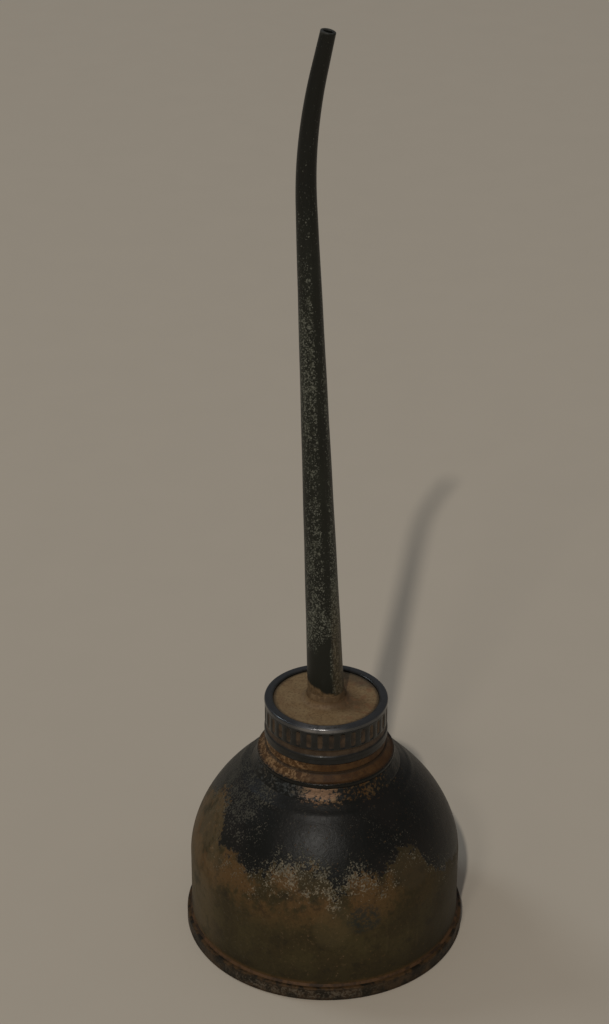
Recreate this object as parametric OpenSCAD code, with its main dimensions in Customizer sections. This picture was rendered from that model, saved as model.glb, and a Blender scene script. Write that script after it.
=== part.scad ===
// Push-bottom oil can: a bell-shaped tinplate reservoir with a flexing bottom,
// a soldered filler neck and a screw cap that carries a long, bent, tapered spout.
// Millimetres, +Z up. The origin is the centre of the base, on the table.

/* [Base] */
// Outside diameter of the crimped rim that the can stands on
base_d = 47.6; // [46.4:0.2:50]
// Height of the crimped rim
rim_h = 2.5; // [2.3:0.1:3]
// How far the rim stands out past the body wall
rim_proud = 0.9; // [0.8:0.05:1.2]

/* [Body] */
// Thickness of the tinplate of the body, rim, neck and cap
sheet_t = 0.45; // [0.35:0.05:0.5]
// Height at which the straight wall turns into the dome
wall_h = 14.5; // [10:0.5:18]
// Rise from the top of the wall to the point where the dome would close
dome_rise = 22.4; // [20:0.2:25]
// Fullness of the dome: 2 is an ellipse, less is flatter at the shoulder
dome_power = 1.72; // [1.6:0.02:2]

/* [Neck] */
// Outside diameter of the flange soldered to the dome
flange_d = 23.1; // [22.8:0.1:24]
// Diameter of the plain band that shows below the cap
band_d = 20; // [19.8:0.1:20.2]
// Outside diameter of the threaded tube, without its thread
tube_d = 17.7; // [17.4:0.1:17.8]

/* [Cap] */
// Outside diameter over the rolled top rim
cap_d = 20.5; // [20.3:0.1:20.9]
// Height of the cap from its lower curl to its top
cap_h = 6.9; // [6.8:0.1:7.4]
// Number of grip flutes around the cap
flute_count = 34; // [20:1:40]
// Thread pitch of the neck and cap
pitch = 1.8; // [1.6:0.1:2]
// Turns of thread in the cap; the neck has half a turn less
thread_turns = 2; // [1.5:0.25:2]

/* [Spout] */
// Length of the spout from the cap to the tip, along its middle
spout_l = 111.1; // [90:0.1:140]
// Outside diameter where it leaves the cap
spout_base_d = 6.1; // [5.8:0.1:6.2]
// Outside diameter at the tip
spout_tip_d = 2.35; // [2.2:0.05:3]
// Thickness of the spout's wall
spout_t = 0.45; // [0.3:0.05:0.5]
// Length of the straight end past the bend's corner
tip_l = 17.1; // [12:0.1:30]
// Sideways lean of the lower length, in degrees
lean_low = -2.5; // [-4:0.1:0]
// Sideways lean of the tip, in degrees
lean_tip = 11.8; // [5:0.1:20]

/* [Bottom] */
// Thickness of the spring steel bottom
bottom_t = 0.35; // [0.25:0.05:0.4]
// How far the bottom's thumb pad hangs below its clamped edge
crown = 2.7; // [2:0.1:2.8]

/* [Hidden] */
$fn = 96;

// Paint and rust
black_paint = "#26262a";
rusty_brown = "#5f4428";
rust_tan = "#8a6138";
khaki = "#9c8257";
solder_grey = "#77736b";
spring_steel = "#7d7468";
leather = "#6a4a2c";

// Base and body
rim_r = base_d / 2;
wall_r = rim_r - rim_proud;
rim_curl = 0.4;
seam_gap = 0.02;
lip_r = wall_r + 0.15;
fold_r = wall_r - 1.45;
foot_z = rim_h - sheet_t - 0.1;
clamp_z = rim_h + 0.5;
dome_steps = 30;

// Neck, from the dome upwards
flange_r = flange_d / 2;
band_r = band_d / 2;
tube_r = tube_d / 2;
flange_z = dome_z(flange_r) + 1.15;
flange_t = 0.85;
slope_z = flange_z + flange_t + 1.15;
groove_z = slope_z + 0.35;
groove_depth = 0.2;
band_z = groove_z + 1.4;
collar_lip_r = band_r - sheet_t - 0.25;
collar_lip_z = slope_z - 0.2;

// Cap, from its lower curl to the top of its rolled rim
cap_r = cap_d / 2;
cap_z = band_z + 0.1;
cap_top_z = cap_z + cap_h;
skirt_r = cap_r - 0.25;
curl_z = cap_z + 1.55;
flute_low_z = cap_z + 2.8;
flute_high_z = cap_z + 5.8;
flute_r = 0.62;
plate_r = 8.8;
roll_r = 0.95;
plate_z = cap_top_z - 0.35;
plate_t = 0.4;
ledge_z = plate_z - plate_t - seam_gap;
ledge_r = 7.6;
gasket_t = 0.8;
gasket_z = ledge_z - sheet_t - seam_gap - gasket_t;
neck_top_z = gasket_z - seam_gap;

// Thread
ridge_h = 0.45;
ridge_root = 0.95;
ridge_crest = 0.35;
thread_z = cap_z + 0.72;
thread_fn = 30;

// Spout
spout_hole_r = spout_base_d / 2 + 0.12;
collar_h = 1.1;
tail = 0.9;
lean_back = 3.4;
tip_forward = -3;
bend_run = 10.4;
spout_sides = 28;
bend_rings = 12;

function dome_z(r) = wall_h + dome_rise * pow(1 - pow(r / wall_r, dome_power), 1 / dome_power);

// A point of the dome's outline, from the wall (0 degrees) towards the top
function dome_point(a) = [
    wall_r * pow(cos(a), 2 / dome_power),
    wall_h + dome_rise * pow(sin(a), 2 / dome_power)
];

// Angle at which the outline reaches a radius
function dome_angle(r) = acos(pow(r / wall_r, dome_power / 2));

// The outline between two radii, r0 the larger
function dome_arc(r0, r1, steps) =
    let (a0 = dome_angle(r0), a1 = dome_angle(r1))
    [for (i = [0:steps]) dome_point(a0 + (a1 - a0) * i / steps)];

function unit(v) = v / norm(v);
function left(v) = [-v[1], v[0]];

// Sideways step at a corner that keeps the sheet's thickness on both sides of it
function mitre(p, i) =
    let (
        last = len(p) - 1,
        before = left(unit(p[max(i, 1)] - p[max(i, 1) - 1])),
        after = left(unit(p[min(i, last - 1) + 1] - p[min(i, last - 1)]))
    )
    (before + after) / (1 + before * after);

// Closed outline of a sheet of thickness t, to the left of its path
function sheet(p, t) = concat(p, [for (i = [len(p) - 1:-1:0]) p[i] + t * mitre(p, i)]);

// Quarter of a rounded corner, centre c, from angle a0 to a1
function corner(c, r, a0, a1, steps = 4) =
    [for (i = [0:steps]) let (a = a0 + (a1 - a0) * i / steps) c + r * [cos(a), sin(a)]];

function smooth(t) = t * t * (3 - 2 * t);

// Helical ridge: r0 is buried in the wall, the crest stands at r1, and both ends fade out
module thread_ridge(r0, r1, z0, turns) {
    rings = round(turns * thread_fn);
    sign_out = sign(r1 - r0);
    pts = [
        for (i = [0:rings])
            let (
                a = 360 * i / thread_fn,
                z = z0 + pitch * i / thread_fn,
                fade = smooth(min(1, min(i, rings - i) / 4)),
                crest = r1 - sign_out * ridge_h * 0.8 * (1 - fade)
            )
            each [
                for (c = [[r0, -ridge_root / 2], [crest, -ridge_crest / 2],
                          [crest, ridge_crest / 2], [r0, ridge_root / 2]])
                    [c[0] * cos(a), c[0] * sin(a), z + c[1]]
            ]
    ];
    out_faces = [
        for (i = [0:rings - 1])
            for (k = [0:3])
                let (a = 4 * i + k, b = 4 * i + (k + 1) % 4)
                each [[a, a + 4, b + 4], [a, b + 4, b]]
    ];
    end = 4 * rings;
    all_faces = concat(out_faces, [[0, 1, 2, 3], [end + 3, end + 2, end + 1, end]]);
    faces = sign_out < 0 ? all_faces : [for (f = all_faces) [for (i = [len(f) - 1:-1:0]) f[i]]];
    polyhedron(pts, faces);
}

// Drawn shell: a foot flange held by the rim, a straight wall, the dome and an upturned lip
module body_shell() {
    lip_out_r = collar_lip_r;
    path = concat(
        [[lip_r + 0.15, foot_z], [wall_r, foot_z]],
        dome_arc(wall_r, lip_out_r + 1, dome_steps),
        corner([lip_out_r + 0.8, dome_z(lip_out_r + 1) + 0.9], 0.8, 250, 180),
        [[lip_out_r, collar_lip_z]]
    );
    color(black_paint)
        rotate_extrude()
            polygon(sheet(path, sheet_t));
}

// Hoop crimped round the foot flange, with an inner wall that carries the bottom's edge
module base_rim() {
    path = concat(
        [[fold_r, clamp_z]],
        corner([fold_r + rim_curl, rim_curl], rim_curl, 180, 270),
        corner([rim_r - rim_curl, rim_curl], rim_curl, -90, 0),
        corner([rim_r - rim_curl, rim_h - rim_curl], rim_curl, 0, 90),
        [[lip_r, rim_h]]
    );
    color(rusty_brown)
        rotate_extrude()
            polygon(sheet(path, sheet_t - 0.05));
}

// Solder that seals the crimped seam against the wall
module seam_solder() {
    color(solder_grey)
        rotate_extrude()
            polygon([
                [wall_r, foot_z + seam_gap],
                [lip_r - seam_gap, foot_z + seam_gap],
                [lip_r - seam_gap, rim_h],
                [lip_r + 0.2, rim_h + seam_gap],
                [wall_r, rim_h + 0.4]
            ]);
}

// Spring steel bottom, stepped down in rings to a thumb pad that stops short of the table
module bottom_diaphragm() {
    edge_r = wall_r - sheet_t - 0.35;
    edge_z = clamp_z + seam_gap + bottom_t;
    pad_r = 6.8;
    web_r = fold_r - 0.8;
    rings = 4;
    run = (web_r - pad_r) / rings;
    drop = crown / rings;
    path = concat(
        [[edge_r, edge_z]],
        [
            for (i = [0:rings - 1])
                each [
                    [web_r - run * i, edge_z - drop * i],
                    [web_r - run * (i + 0.7), edge_z - drop * (i + 0.35)]
                ]
        ],
        [[pad_r, edge_z - crown], [0, edge_z - crown]]
    );
    color(spring_steel)
        rotate_extrude()
            polygon(sheet(path, bottom_t));
}

// Filler neck: a flange on the dome, a sloping shoulder, a plain band and a threaded tube
module neck_collar() {
    half = flange_t / 2;
    path = concat(
        [[flange_r - 0.6, flange_z]],
        corner([flange_r - half, flange_z + half], half, -80, 60),
        [
            [band_r + 0.1, slope_z],
            [band_r - groove_depth, slope_z + 0.08],
            [band_r - groove_depth, groove_z - 0.08],
            [band_r, groove_z],
            [band_r, band_z - 0.2],
            [band_r - 0.2, band_z],
            [tube_r, band_z],
            [tube_r, neck_top_z - 0.15],
            [tube_r - 0.15, neck_top_z]
        ]
    );
    bore_r = tube_r - sheet_t - 0.05;
    inside = [
        [bore_r, neck_top_z],
        [bore_r, band_z - sheet_t],
        [band_r - sheet_t - groove_depth, band_z - sheet_t],
        [band_r - sheet_t - groove_depth, slope_z - 0.1],
        [flange_r - 1.1, flange_z + 0.4]
    ];
    color(rust_tan) {
        rotate_extrude()
            polygon(concat(path, inside));
        thread_ridge(tube_r - 0.2, tube_r + ridge_h, thread_z + pitch / 2, thread_turns - 0.5);
    }
}

// Fillet of solder between the flange's edge and the dome
module neck_solder() {
    low_r = flange_r + 0.9;
    high_r = flange_r - 0.5;
    color(solder_grey)
        rotate_extrude()
            polygon(concat(
                dome_arc(low_r, high_r, 5),
                [
                    [high_r, flange_z - seam_gap],
                    [flange_r - 0.1, flange_z - seam_gap],
                    [flange_r + 0.25, flange_z - 0.7]
                ]
            ));
}

// Screw cap: a lower curl, a plain band, the fluted grip and a rolled rim that holds the plate
module cap_shell() {
    path = concat(
        [[skirt_r - 0.2, cap_z + 0.1], [skirt_r, cap_z]],
        corner([cap_r - 0.3, cap_z + 0.3], 0.3, -60, 0),
        corner([cap_r - 0.3, curl_z - 0.3], 0.3, 0, 60),
        [
            [skirt_r, curl_z],
            [skirt_r, flute_low_z - 0.15],
            [cap_r - 0.05, flute_low_z],
            [cap_r - 0.05, flute_high_z]
        ],
        corner([cap_r - roll_r, cap_top_z - roll_r], roll_r, 0, 90, 6),
        corner([plate_r + 0.5, cap_top_z - 0.5], 0.5, 70, 180),
        [[plate_r, ledge_z], [ledge_r, ledge_z]]
    );
    inside_r = skirt_r - sheet_t;
    inside = [
        [ledge_r, ledge_z - sheet_t],
        [inside_r, ledge_z - sheet_t],
        [inside_r, cap_z + 0.25]
    ];
    color(black_paint) {
        difference() {
            rotate_extrude()
                polygon(concat(path, inside));
            for (i = [0:flute_count - 1])
                rotate([0, 0, 360 * (i + 0.5) / flute_count])
                    translate([cap_r + flute_r * 0.62, 0, flute_low_z + 0.25])
                        cylinder(h = flute_high_z - flute_low_z - 0.5, r = flute_r, $fn = 24);
        }
        thread_ridge(inside_r + 0.2, inside_r - ridge_h, thread_z, thread_turns);
    }
}

// Plate let into the top of the cap, with an upturned collar round the spout
module cap_plate() {
    hole_r = spout_hole_r;
    color(khaki)
        rotate_extrude()
            polygon([
                [hole_r, plate_z - plate_t],
                [plate_r - seam_gap, plate_z - plate_t],
                [plate_r - seam_gap, plate_z],
                [hole_r + plate_t + 0.4, plate_z],
                [hole_r + plate_t, plate_z + 0.35],
                [hole_r + plate_t - 0.1, plate_z + collar_h],
                [hole_r, plate_z + collar_h]
            ]);
}

// Washer that seals the neck's lip against the underside of the cap
module cap_gasket() {
    color(leather)
        translate([0, 0, gasket_z])
            difference() {
                cylinder(h = gasket_t, r = skirt_r - sheet_t - 0.3);
                translate([0, 0, -1])
                    cylinder(h = gasket_t + 2, r = tube_r - 1.4);
            }
}

// Middle line of the spout: a straight lower length, a soft bend and a straight tip
spout_foot = [0, 0, plate_z];
low_dir = unit([tan(lean_low), tan(lean_back), 1]);
tip_dir = unit([tan(lean_tip), tan(tip_forward), 1]);
low_l = spout_l - tip_l;
bend_corner = spout_foot + low_dir * low_l;
bend_start = bend_corner - low_dir * bend_run;
bend_end = bend_corner + tip_dir * bend_run;

function bend(t) = pow(1 - t, 2) * bend_start + 2 * t * (1 - t) * bend_corner + t * t * bend_end;
function bend_dir(t) = unit((1 - t) * (bend_corner - bend_start) + t * (bend_end - bend_corner));

// Rings as [centre, direction, length from the plate]
spout_rings = concat(
    [for (s = [-tail, 0, low_l * 0.25, low_l * 0.5, low_l * 0.75]) [spout_foot + low_dir * s, low_dir, s]],
    [
        for (i = [0:bend_rings])
            let (t = i / bend_rings)
            [bend(t), bend_dir(t), low_l - bend_run + 2 * bend_run * t]
    ],
    [for (s = [0.5, 1]) [bend_end + tip_dir * (tip_l - bend_run) * s, tip_dir,
        low_l + bend_run + (tip_l - bend_run) * s]]
);

function spout_r(s) = (spout_base_d + (spout_tip_d - spout_base_d) * s / spout_l) / 2;

// One ring of points square to its direction
function ring(c, d, r) =
    let (u = unit(cross([0, 1, 0], d)), v = cross(d, u))
    [for (k = [0:spout_sides - 1]) let (a = 360 * k / spout_sides) c + r * (cos(a) * u + sin(a) * v)];

// Rolled and bent tube: an outer skin going up and an inner skin coming down
module spout_tube() {
    n = len(spout_rings);
    outer = [for (q = spout_rings) ring(q[0], q[1], spout_r(q[2]))];
    inner = [for (i = [n - 1:-1:0]) let (q = spout_rings[i]) ring(q[0], q[1], spout_r(q[2]) - spout_t)];
    loops = concat(outer, inner);
    count = len(loops);
    faces = [
        for (j = [0:count - 1])
            for (k = [0:spout_sides - 1])
                let (
                    a = j * spout_sides + k,
                    b = j * spout_sides + (k + 1) % spout_sides,
                    c = ((j + 1) % count) * spout_sides + (k + 1) % spout_sides,
                    d = ((j + 1) % count) * spout_sides + k
                )
                each [[a, d, c], [a, c, b]]
    ];
    color(black_paint)
        polyhedron([for (l = loops) each l], faces);
}

// Fillet of solder on top of the plate's collar
module spout_solder() {
    top_z = plate_z + collar_h;
    color(solder_grey)
        rotate_extrude()
            polygon([
                [spout_hole_r - 0.3, top_z + seam_gap],
                [spout_hole_r + plate_t - 0.1, top_z + seam_gap],
                [spout_hole_r + 0.1, top_z + 0.3],
                [spout_hole_r - 0.3, top_z + 0.8]
            ]);
}

body_shell();
base_rim();
seam_solder();
bottom_diaphragm();
neck_collar();
neck_solder();
cap_shell();
cap_plate();
cap_gasket();
spout_tube();
spout_solder();
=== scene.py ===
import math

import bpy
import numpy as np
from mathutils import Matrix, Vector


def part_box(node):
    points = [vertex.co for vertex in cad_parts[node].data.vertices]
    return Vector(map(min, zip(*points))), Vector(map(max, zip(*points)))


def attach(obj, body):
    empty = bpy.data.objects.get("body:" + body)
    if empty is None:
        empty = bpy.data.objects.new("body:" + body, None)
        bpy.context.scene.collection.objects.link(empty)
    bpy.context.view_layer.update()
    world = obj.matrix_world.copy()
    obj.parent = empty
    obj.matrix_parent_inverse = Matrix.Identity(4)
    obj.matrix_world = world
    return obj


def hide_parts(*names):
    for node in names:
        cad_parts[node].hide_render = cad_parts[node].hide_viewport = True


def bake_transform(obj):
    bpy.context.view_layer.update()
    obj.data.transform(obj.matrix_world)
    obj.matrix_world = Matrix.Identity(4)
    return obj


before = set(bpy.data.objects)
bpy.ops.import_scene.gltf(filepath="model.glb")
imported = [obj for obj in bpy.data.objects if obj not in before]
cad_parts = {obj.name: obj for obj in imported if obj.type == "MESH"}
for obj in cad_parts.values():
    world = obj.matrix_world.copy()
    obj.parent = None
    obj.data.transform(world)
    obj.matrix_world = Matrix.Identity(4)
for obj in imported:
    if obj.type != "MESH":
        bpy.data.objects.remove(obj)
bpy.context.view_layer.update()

# Looks of the push-bottom oil can: refined pieces, procedural materials, light, floor, camera.
# Lengths are in millimetres up to the moment a mesh is made, and angles round the can are in
# degrees from the front (-Y), positive towards +X.

MM = 0.001


def node_box(name):
    """Lowest and highest corner of a CAD node, in millimetres."""
    low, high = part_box(name)
    return np.array(low) / MM, np.array(high) / MM


# Sizes, from the frame's nodes
RIM_HIGH = node_box("base_rim")[1]
NECK_LOW, NECK_HIGH = node_box("neck_collar")
CAP_LOW, CAP_HIGH = node_box("cap_shell")
PLATE_HIGH = node_box("cap_plate")[1]
GASKET_LOW, GASKET_HIGH = node_box("cap_gasket")
BOTTOM_LOW, BOTTOM_HIGH = node_box("bottom_diaphragm")
SPOUT_HIGH = node_box("spout_tube")[1]

# Sheet, rim, wall and dome
SHEET = 0.45
RIM_R = RIM_HIGH[0]
RIM_TOP = 2.5
CLAMP_Z = RIM_HIGH[2]
WALL_R = RIM_R - 0.9
FOLD_R = WALL_R - 1.45
WALL_TOP = 14.5
DOME_RISE = 22.4
DOME_POWER = 1.72
CREASE_R = 14.3

# Filler neck
FLANGE_R = NECK_HIGH[0]
FLANGE_Z = NECK_LOW[2]
NECK_TOP = NECK_HIGH[2]
BAND_R = 10.0
TUBE_R = 8.85

# Screw cap and the plate in its top
CAP_R = CAP_HIGH[0]
CAP_Z = CAP_LOW[2]
CAP_TOP = CAP_HIGH[2]
SKIRT_R = CAP_R - 0.25
PLATE_R = PLATE_HIGH[0]
PLATE_Z = CAP_TOP - 0.35
PLATE_T = 0.4
COLLAR_TOP = PLATE_HIGH[2]
FLUTES = 34

# Thread: its start above the cap's foot, and how far its ridge is sunk in and stands out
PITCH = 1.8
THREAD_START = 0.72
THREAD_SUNK = 0.2
THREAD_PROUD = 0.42
NECK_TURNS = 1.5
CAP_TURNS = 2

# Spout. Angles are in degrees.
SPOUT_BASE_R = 3.05
SPOUT_TIP_R = 1.175
SPOUT_WALL = 0.42
SPOUT_HOLE_R = SPOUT_BASE_R + 0.12
SPOUT_TAIL = 0.9
SPOUT_LENGTH = 111.1
TIP_LENGTH = 17.1
BEND_RUN = 10.4
LEAN_LOW = -2.5
LEAN_TIP = 11.8
LEAN_BACK = 3.4
TIP_FORWARD = -3.0


# ---------------------------------------------------------------- mesh helpers

def rounded(points, steps=5):
    """An outline with its corners rounded. A point is (r, z) or (r, z, radius)."""
    out = []
    for i, p in enumerate(points):
        here = np.array(p[:2], float)
        radius = p[2] if len(p) > 2 else 0.0
        if radius == 0 or i in (0, len(points) - 1):
            out.append(here)
            continue
        before = np.array(points[i - 1][:2], float) - here
        after = np.array(points[i + 1][:2], float) - here
        reach = min(radius, 0.48 * np.linalg.norm(before), 0.48 * np.linalg.norm(after))
        start = here + before / np.linalg.norm(before) * reach
        end = here + after / np.linalg.norm(after) * reach
        for k in range(steps + 1):
            t = k / steps
            out.append((1 - t) ** 2 * start + 2 * t * (1 - t) * here + t * t * end)
    return np.array(out)


def resampled(outline, step):
    """The outline with its long stretches cut to about step."""
    out = [outline[0]]
    for a, b in zip(outline[:-1], outline[1:]):
        cuts = max(1, int(np.ceil(np.linalg.norm(b - a) / step)))
        out += [a + (b - a) * k / cuts for k in range(1, cuts + 1)]
    return np.array(out)


def normals_of(outline):
    """Outward normals in the (r, z) plane, for an outline that goes up on its outside."""
    d = np.gradient(outline, axis=0)
    d /= np.maximum(np.linalg.norm(d, axis=1, keepdims=True), 1e-9)
    return np.stack([d[:, 1], -d[:, 0]], axis=1)


def make_mesh(name, points, faces, material, smooth=True):
    """A new object from points in millimetres."""
    mesh = bpy.data.meshes.new(name)
    mesh.from_pydata((np.asarray(points) * MM).tolist(), [], faces)
    mesh.update()
    if smooth:
        mesh.polygons.foreach_set("use_smooth", [True] * len(mesh.polygons))
    mesh.materials.append(material)
    made = bpy.data.objects.new(name, mesh)
    bpy.context.scene.collection.objects.link(made)
    return made


def revolved(name, outline, material, around=256, relief=None, closed=True):
    """Turns an outline about Z. relief(angle, r, z) is a height along the surface's normal.

    A closed outline makes a ring; an open one starts and ends on the axis.
    """
    outline = np.asarray(outline, float)
    side = normals_of(np.vstack([outline[-2:-1], outline, outline[1:2]]))[1:-1] if closed \
        else normals_of(outline)
    if closed:
        outline, side = outline[:-1], side[:-1]
    angle = np.arange(around) * 2 * np.pi / around
    height = np.zeros((len(outline), around))
    if relief is not None:
        height = relief(angle[None, :], outline[:, :1], outline[:, 1:])
    r = outline[:, :1] + side[:, :1] * height
    z = outline[:, 1:] + side[:, 1:] * height
    rings = np.stack([r * np.sin(angle), -r * np.cos(angle), z + 0 * angle], axis=2)
    count = len(outline)
    if closed:
        points = rings.reshape(-1, 3)
        pairs = [(j, (j + 1) % count) for j in range(count)]
        faces = [
            (a * around + i, a * around + (i + 1) % around,
             b * around + (i + 1) % around, b * around + i)
            for a, b in pairs for i in range(around)
        ]
        return make_mesh(name, points, faces, material)
    inner = rings[1:-1].reshape(-1, 3)
    first, last = len(inner), len(inner) + 1
    points = np.vstack([inner, [[0, 0, outline[0, 1]], [0, 0, outline[-1, 1]]]])
    faces = [
        (j * around + i, j * around + (i + 1) % around,
         (j + 1) * around + (i + 1) % around, (j + 1) * around + i)
        for j in range(count - 3) for i in range(around)
    ]
    end = (count - 3) * around
    faces += [(first, (i + 1) % around, i) for i in range(around)]
    faces += [(last, end + i, end + (i + 1) % around) for i in range(around)]
    return make_mesh(name, points, faces, material)


def waves(angle, z, seed, size=1.0):
    """Gentle unevenness between -1 and 1, in angle and height, from a few fixed waves."""
    rng = np.random.default_rng(seed)
    total = np.zeros(np.broadcast(angle, z).shape)
    for k in range(1, 7):
        turns = rng.integers(1, 4) * k
        rise = rng.uniform(-0.25, 0.25) * k / size
        total += np.sin(turns * angle + rise * z + rng.uniform(0, 6.3)) / k
    return total / 2.45


def thickened(path, thickness):
    """Closed outline of a sheet whose outer side is path."""
    inner = path - normals_of(path) * thickness
    return np.vstack([path, inner[::-1], path[:1]])


# ---------------------------------------------------------------- shader helpers

class Wire:
    """A shader socket that arithmetic works on."""

    def __init__(self, shader, socket):
        self.shader = shader
        self.socket = socket

    def _math(self, operation, other, swap=False):
        pair = (other, self) if swap else (self, other)
        return self.shader.math(operation, *pair)

    def __add__(self, other):
        return self._math("ADD", other)

    def __radd__(self, other):
        return self._math("ADD", other)

    def __sub__(self, other):
        return self._math("SUBTRACT", other)

    def __rsub__(self, other):
        return self._math("SUBTRACT", other, swap=True)

    def __mul__(self, other):
        return self._math("MULTIPLY", other)

    def __rmul__(self, other):
        return self._math("MULTIPLY", other)

    def __truediv__(self, other):
        return self._math("DIVIDE", other)


class Shader:
    """A procedural material, in millimetres of the can's own frame."""

    def __init__(self, name):
        self.material = bpy.data.materials.new(name)
        self.material.use_nodes = True
        self.tree = self.material.node_tree
        self.tree.nodes.clear()
        self.bsdf = self.tree.nodes.new("ShaderNodeBsdfPrincipled")
        output = self.tree.nodes.new("ShaderNodeOutputMaterial")
        self.tree.links.new(self.bsdf.outputs[0], output.inputs[0])
        place = self.tree.nodes.new("ShaderNodeTexCoord")
        self.place = self.vector("SCALE", Wire(self, place.outputs["Object"]), scale=1 / MM)
        split = self.tree.nodes.new("ShaderNodeSeparateXYZ")
        self.tree.links.new(self.place.socket, split.inputs[0])
        self.x, self.y, self.z = [Wire(self, split.outputs[k]) for k in range(3)]
        self.angle = self.math("ARCTAN2", self.x, self.y * -1.0) * (180 / math.pi)

    def feed(self, socket, value):
        """Links a wire to a socket, or sets the socket to a plain value."""
        if isinstance(value, Wire):
            self.tree.links.new(value.socket, socket)
        elif isinstance(value, tuple) and len(value) == 3 and socket.type == "RGBA":
            socket.default_value = (*value, 1.0)
        else:
            socket.default_value = value

    def math(self, operation, *values):
        """One arithmetic step on wires or numbers."""
        made = self.tree.nodes.new("ShaderNodeMath")
        made.operation = operation
        for socket, value in zip(made.inputs, values):
            self.feed(socket, value)
        return Wire(self, made.outputs[0])

    def vector(self, operation, a, b=None, scale=None):
        """One step of vector arithmetic."""
        made = self.tree.nodes.new("ShaderNodeVectorMath")
        made.operation = operation
        self.feed(made.inputs[0], a)
        if b is not None:
            self.feed(made.inputs[1], b)
        if scale is not None:
            made.inputs["Scale"].default_value = scale
        return Wire(self, made.outputs[0])

    def noise(self, size, detail=3.0, rough=0.55, shift=(0, 0, 0), stretch=(1, 1, 1)):
        """Noise from 0 to 1 with features of about size millimetres."""
        at = self.vector("MULTIPLY", self.place, tuple(stretch))
        at = self.vector("ADD", at, tuple(shift))
        made = self.tree.nodes.new("ShaderNodeTexNoise")
        self.feed(made.inputs["Vector"], at)
        made.inputs["Scale"].default_value = 1 / size
        made.inputs["Detail"].default_value = detail
        made.inputs["Roughness"].default_value = rough
        return Wire(self, made.outputs[0])

    def step(self, value, low, high, out_low=0.0, out_high=1.0):
        """Smooth step of a value between two limits, which may be wires."""
        made = self.tree.nodes.new("ShaderNodeMapRange")
        made.interpolation_type = "SMOOTHSTEP"
        for name, v in (("Value", value), ("From Min", low), ("From Max", high),
                        ("To Min", out_low), ("To Max", out_high)):
            self.feed(made.inputs[name], v)
        return Wire(self, made.outputs[0])

    def curve(self, value, low, high, stops):
        """A value read from (input, output) stops, over the range from low to high."""
        share = self.step_linear(value, low, high)
        ramp = self.tree.nodes.new("ShaderNodeValToRGB")
        ramp.color_ramp.interpolation = "EASE"
        elements = ramp.color_ramp.elements
        top = max(v for _, v in stops)
        while len(elements) < len(stops):
            elements.new(0.5)
        for element, (at, v) in zip(elements, sorted(stops)):
            element.position = (at - low) / (high - low)
            element.color = (v / top, v / top, v / top, 1.0)
        self.tree.links.new(share.socket, ramp.inputs[0])
        return Wire(self, ramp.outputs[0]) * top

    def step_linear(self, value, low, high):
        """Straight step of a value between two limits."""
        made = self.tree.nodes.new("ShaderNodeMapRange")
        self.feed(made.inputs["Value"], value)
        made.inputs["From Min"].default_value = low
        made.inputs["From Max"].default_value = high
        return Wire(self, made.outputs[0])

    def mix(self, share, a, b):
        """Colour a where share is 0 and colour b where it is 1."""
        made = self.tree.nodes.new("ShaderNodeMix")
        made.data_type = "RGBA"
        self.feed(made.inputs[0], share)
        self.feed(made.inputs[6], a)
        self.feed(made.inputs[7], b)
        return Wire(self, made.outputs[2])

    def spot(self, angle, z, wide, tall, ragged=None):
        """1 in an oval patch round an angle and height, fading to 0 at its edge."""
        across = (self.angle - angle) / wide
        up = (self.z - z) / tall
        far = across * across + up * up
        if ragged is not None:
            far = far + (ragged - 0.5) * 1.6
        return self.step(far, 1.1, 0.5)

    def finish(self, color, roughness, metallic=0.0, bumps=(), coat=0.0, coat_roughness=0.3,
               specular=0.5):
        """Sets the surface and returns the material. bumps are (height, depth in millimetres)."""
        self.feed(self.bsdf.inputs["Base Color"], color)
        self.feed(self.bsdf.inputs["Roughness"], roughness)
        self.feed(self.bsdf.inputs["Metallic"], metallic)
        self.bsdf.inputs["Coat Weight"].default_value = coat
        self.bsdf.inputs["Coat Roughness"].default_value = coat_roughness
        self.bsdf.inputs["Specular IOR Level"].default_value = specular
        normal = None
        for height, depth in bumps:
            bump = self.tree.nodes.new("ShaderNodeBump")
            bump.inputs["Strength"].default_value = 1.0
            bump.inputs["Distance"].default_value = depth * MM
            self.feed(bump.inputs["Height"], height)
            if normal is not None:
                self.tree.links.new(normal, bump.inputs["Normal"])
            normal = bump.outputs[0]
        if normal is not None:
            self.tree.links.new(normal, self.bsdf.inputs["Normal"])
        return self.material


# ---------------------------------------------------------------- palette

BLACK = (0.0086, 0.0088, 0.0068)
CHARCOAL = (0.0180, 0.0145, 0.0120)
GREEN_BLACK = (0.0120, 0.0130, 0.0085)
OLIVE = (0.068, 0.052, 0.019)
OLIVE_BROWN = (0.050, 0.036, 0.013)
DARK_BROWN = (0.026, 0.020, 0.009)
RUST = (0.150, 0.078, 0.027)
TAN = (0.180, 0.125, 0.062)
PALE_TAN = (0.330, 0.270, 0.180)
GREY_TAN = (0.150, 0.142, 0.108)
BLUE_GREY = (0.088, 0.094, 0.090)
COPPER = (0.250, 0.150, 0.088)
KHAKI = (0.300, 0.190, 0.088)
KHAKI_LIGHT = (0.360, 0.245, 0.122)
SOLDER = (0.215, 0.140, 0.070)
SOLDER_DARK = (0.130, 0.078, 0.036)
STEEL = (0.300, 0.265, 0.225)
LEATHER = (0.120, 0.066, 0.030)


# ---------------------------------------------------------------- materials

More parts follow.
